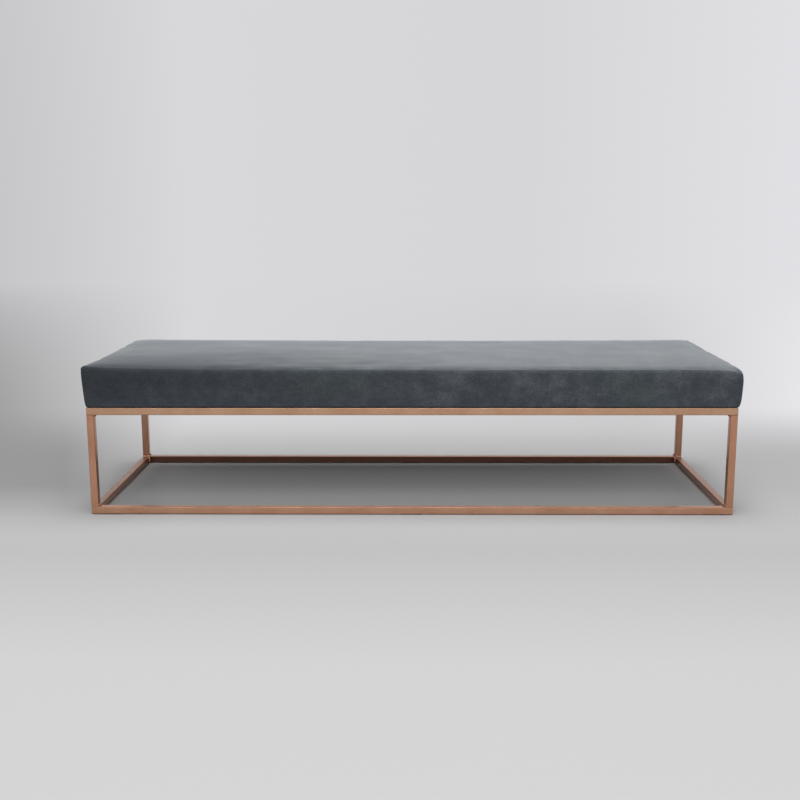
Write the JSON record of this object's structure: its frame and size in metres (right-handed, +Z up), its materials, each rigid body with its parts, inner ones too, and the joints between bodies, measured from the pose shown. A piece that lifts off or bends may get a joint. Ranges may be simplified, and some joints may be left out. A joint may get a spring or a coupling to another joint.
{
  "type": "upholstered ottoman bench",
  "caption": "Long, low ottoman bench: a velvet-covered seat pad bolted onto an open box frame of square steel tube with a satin copper finish.",
  "frame": {"origin": "on the floor, under the middle of the bench", "axes": "+X along the bench, -Y towards the front long side, +Z up"},
  "size_m": [1.7676, 0.6176, 0.405],
  "materials": {
    "copper_tube": "satin copper plating on square steel tube",
    "weld_bead": "plated weld bead, slightly rippled",
    "felt": "pressed wool felt",
    "plywood": "raw poplar plywood",
    "foam": "cut polyurethane foam",
    "wadding": "white polyester wadding",
    "velvet": "short-pile slate-grey velvet",
    "zinc_wire": "galvanised wire",
    "non_woven": "black spun-bonded polypropylene",
    "zinc_steel": "zinc plated"
  },
  "bodies": {
    "root": {"base_rail_front": "copper_tube", "base_rail_rear": "copper_tube", "base_rail_left": "copper_tube", "base_rail_right": "copper_tube", "leg_front_left": "copper_tube", "leg_front_right": "copper_tube", "leg_rear_left": "copper_tube", "leg_rear_right": "copper_tube", "seat_rail_front": "copper_tube", "seat_rail_rear": "copper_tube", "seat_rail_left": "copper_tube", "seat_rail_right": "copper_tube", "crossbar_1": "copper_tube", "crossbar_2": "copper_tube", "crossbar_3": "copper_tube", "base_ring_beads": "weld_bead", "seat_ring_beads": "weld_bead", "crossbar_beads": "weld_bead", "felt_pads": "felt", "seat_board": "plywood", "foam_block": "foam", "wadding_wrap": "wadding", "velvet_cover": "velvet", "cover_staples": "zinc_wire", "dust_cover": "non_woven", "dust_cover_staples": "zinc_wire", "tee_nuts": "zinc_steel", "seat_bolts": "zinc_steel", "seat_washers": "zinc_steel"}
  },
  "joints": []
}
